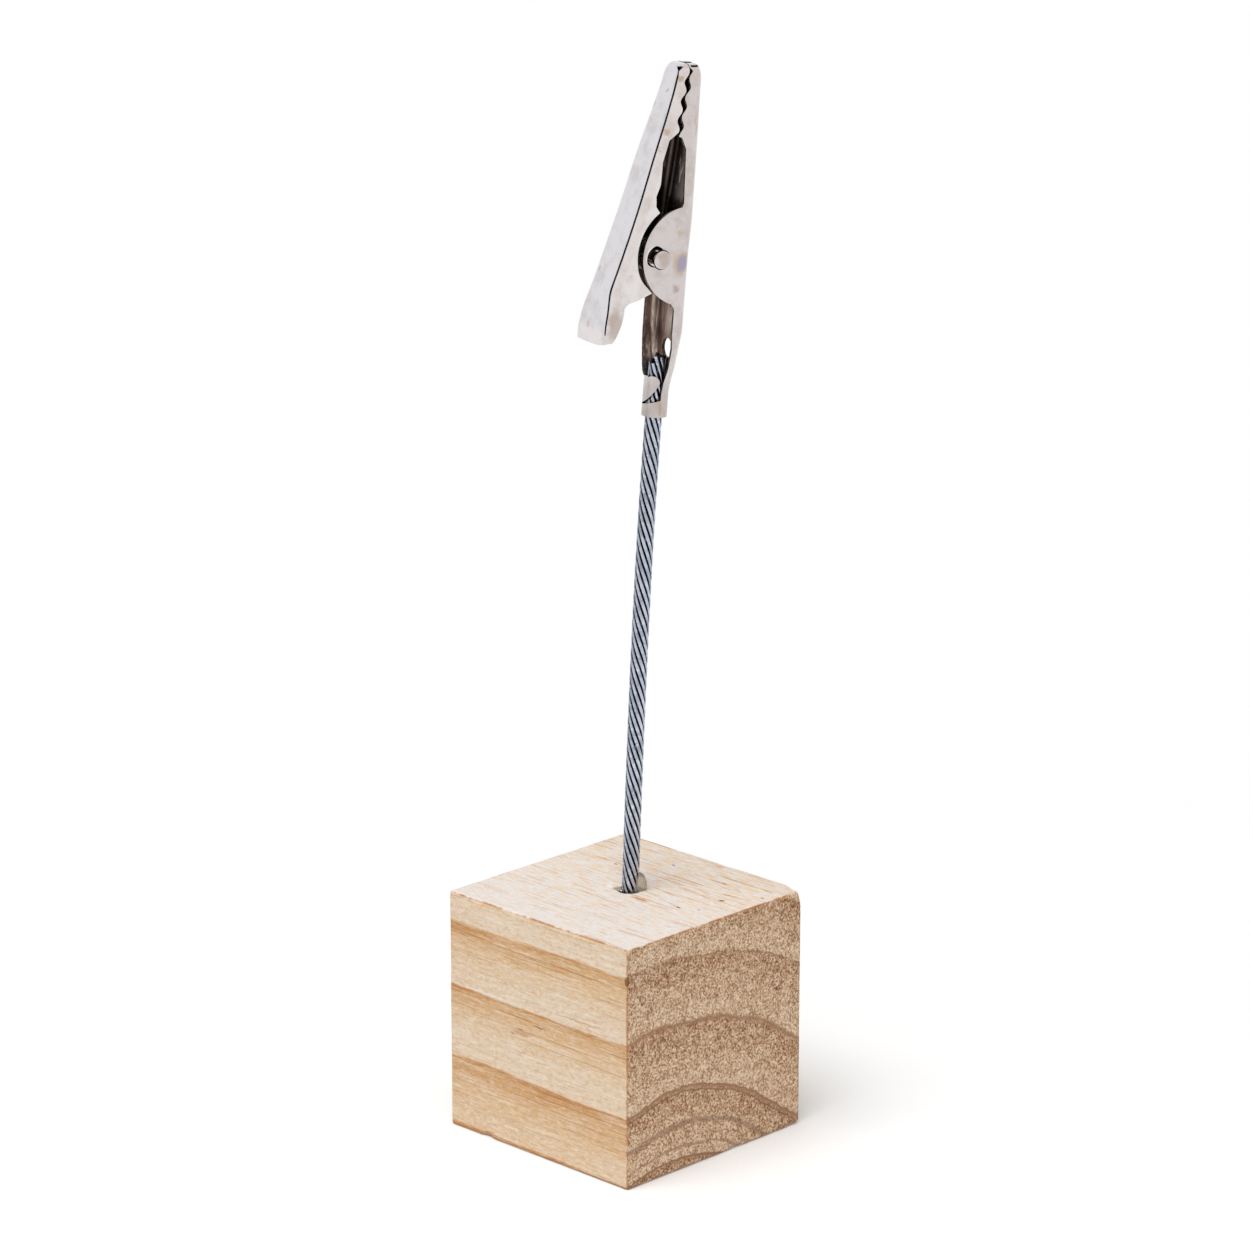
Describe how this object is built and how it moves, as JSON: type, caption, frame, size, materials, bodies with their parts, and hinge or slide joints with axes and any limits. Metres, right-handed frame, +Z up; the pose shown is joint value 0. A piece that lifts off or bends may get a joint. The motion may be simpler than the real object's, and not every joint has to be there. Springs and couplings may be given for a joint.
{
  "type": "memo clip",
  "caption": "Wooden cube memo holder: a sprung toothed clip on a short bowed stem of twisted steel wire that is glued into a small pine block.",
  "frame": {"origin": "centre of the cube's bottom face, on the surface that it stands on", "axes": "+Z up along the stem, +X out of the end-grain face on the right of the picture, -Y out of the long-grain face on its left"},
  "size_m": [0.025, 0.025, 0.1082],
  "materials": {
    "pine": "sanded, unvarnished",
    "glue": "set hot glue, translucent amber",
    "galvanised_wire": "galvanised, drawn",
    "nickel": "nickel plated, lightly stained and scratched",
    "spring_steel": "bright drawn spring wire"
  },
  "bodies": {
    "base": {"pine_block": "pine", "glue_plug": "glue", "core_wire_1": "galvanised_wire", "core_wire_2": "galvanised_wire", "core_wire_3": "galvanised_wire", "outer_wire_1": "galvanised_wire", "outer_wire_2": "galvanised_wire", "outer_wire_3": "galvanised_wire", "outer_wire_4": "galvanised_wire", "outer_wire_5": "galvanised_wire", "outer_wire_6": "galvanised_wire", "outer_wire_7": "galvanised_wire", "outer_wire_8": "galvanised_wire", "outer_wire_9": "galvanised_wire", "fixed_jaw": "nickel", "pivot_pin": "nickel", "torsion_spring": "spring_steel"},
    "jaw": {"moving_jaw": "nickel"}
  },
  "joints": [
    {"name": "jaw_hinge", "type": "hinge", "parent": "base", "child": "jaw", "pos_m": [0.00074, 0.00211, 0.08971], "axis": [0.9541, -0.2994, 0], "range_deg": [0, 39], "stiffness_Nm_per_rad": 0.03, "deforming": ["torsion_spring"]}
  ]
}
